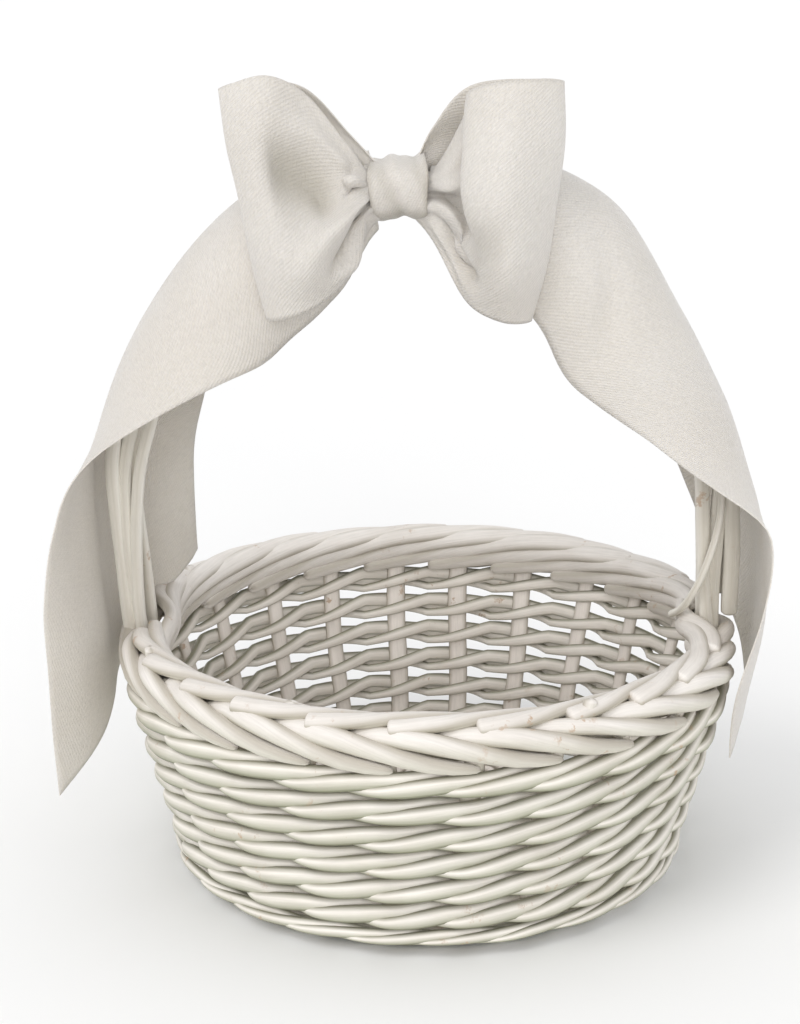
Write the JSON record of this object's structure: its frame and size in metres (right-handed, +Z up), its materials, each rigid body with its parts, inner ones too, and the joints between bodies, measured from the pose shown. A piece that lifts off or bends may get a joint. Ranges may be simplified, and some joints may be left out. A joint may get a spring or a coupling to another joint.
{
  "type": "flower girl basket",
  "caption": "Round bowl basket of white willow rods with a rolled border and a fixed hoop handle, dressed with a wide ivory ribbon that is draped over the hoop and tied in a bow.",
  "frame": {"origin": "middle of the underside of the ring that the basket stands on", "axes": "+Z up, the hoop handle spans X, the bow faces -Y"},
  "size_m": [0.2557, 0.23, 0.2949],
  "materials": {
    "willow_base": "white paint over willow, matte",
    "willow_stake": "white paint over willow, matte",
    "willow_wale": "white paint over willow, satin",
    "willow_border": "white paint over willow, satin",
    "willow_hoop": "white paint over willow, satin",
    "ribbon": "ivory ribbed silk, soft sheen",
    "bow": "ivory ribbed silk, soft sheen"
  },
  "bodies": {
    "root": {"base_sticks": "willow_base", "base_weaver_lower": "willow_base", "base_weaver_upper": "willow_base", "foot_rod": "willow_base", "upsett_rod": "willow_base", "stake_1": "willow_stake", "stake_2": "willow_stake", "stake_3": "willow_stake", "stake_4": "willow_stake", "stake_5": "willow_stake", "stake_6": "willow_stake", "stake_7": "willow_stake", "stake_8": "willow_stake", "stake_9": "willow_stake", "stake_10": "willow_stake", "stake_11": "willow_stake", "stake_12": "willow_stake", "stake_13": "willow_stake", "stake_14": "willow_stake", "stake_15": "willow_stake", "stake_16": "willow_stake", "stake_17": "willow_stake", "stake_18": "willow_stake", "stake_19": "willow_stake", "stake_20": "willow_stake", "stake_21": "willow_stake", "stake_22": "willow_stake", "stake_23": "willow_stake", "stake_24": "willow_stake", "wale_1_rod_1": "willow_wale", "wale_1_rod_2": "willow_wale", "wale_1_rod_3": "willow_wale", "wale_2_rod_1": "willow_wale", "wale_2_rod_2": "willow_wale", "wale_2_rod_3": "willow_wale", "wale_3_rod_1": "willow_wale", "wale_3_rod_2": "willow_wale", "wale_3_rod_3": "willow_wale", "wale_4_rod_1": "willow_wale", "wale_4_rod_2": "willow_wale", "wale_4_rod_3": "willow_wale", "wale_5_rod_1": "willow_wale", "wale_5_rod_2": "willow_wale", "wale_5_rod_3": "willow_wale", "wale_6_rod_1": "willow_wale", "wale_6_rod_2": "willow_wale", "wale_6_rod_3": "willow_wale", "border_outer_lower": "willow_border", "border_outer_upper": "willow_border", "border_inner": "willow_border", "hoop_rod_1": "willow_hoop", "hoop_rod_2": "willow_hoop", "hoop_rod_3": "willow_hoop", "hoop_rod_4": "willow_hoop", "hoop_rod_5": "willow_hoop", "ribbon_tail_left": "ribbon", "ribbon_tail_right": "ribbon", "bow_loop_left": "bow", "bow_loop_right": "bow", "bow_knot": "bow"}
  },
  "joints": []
}
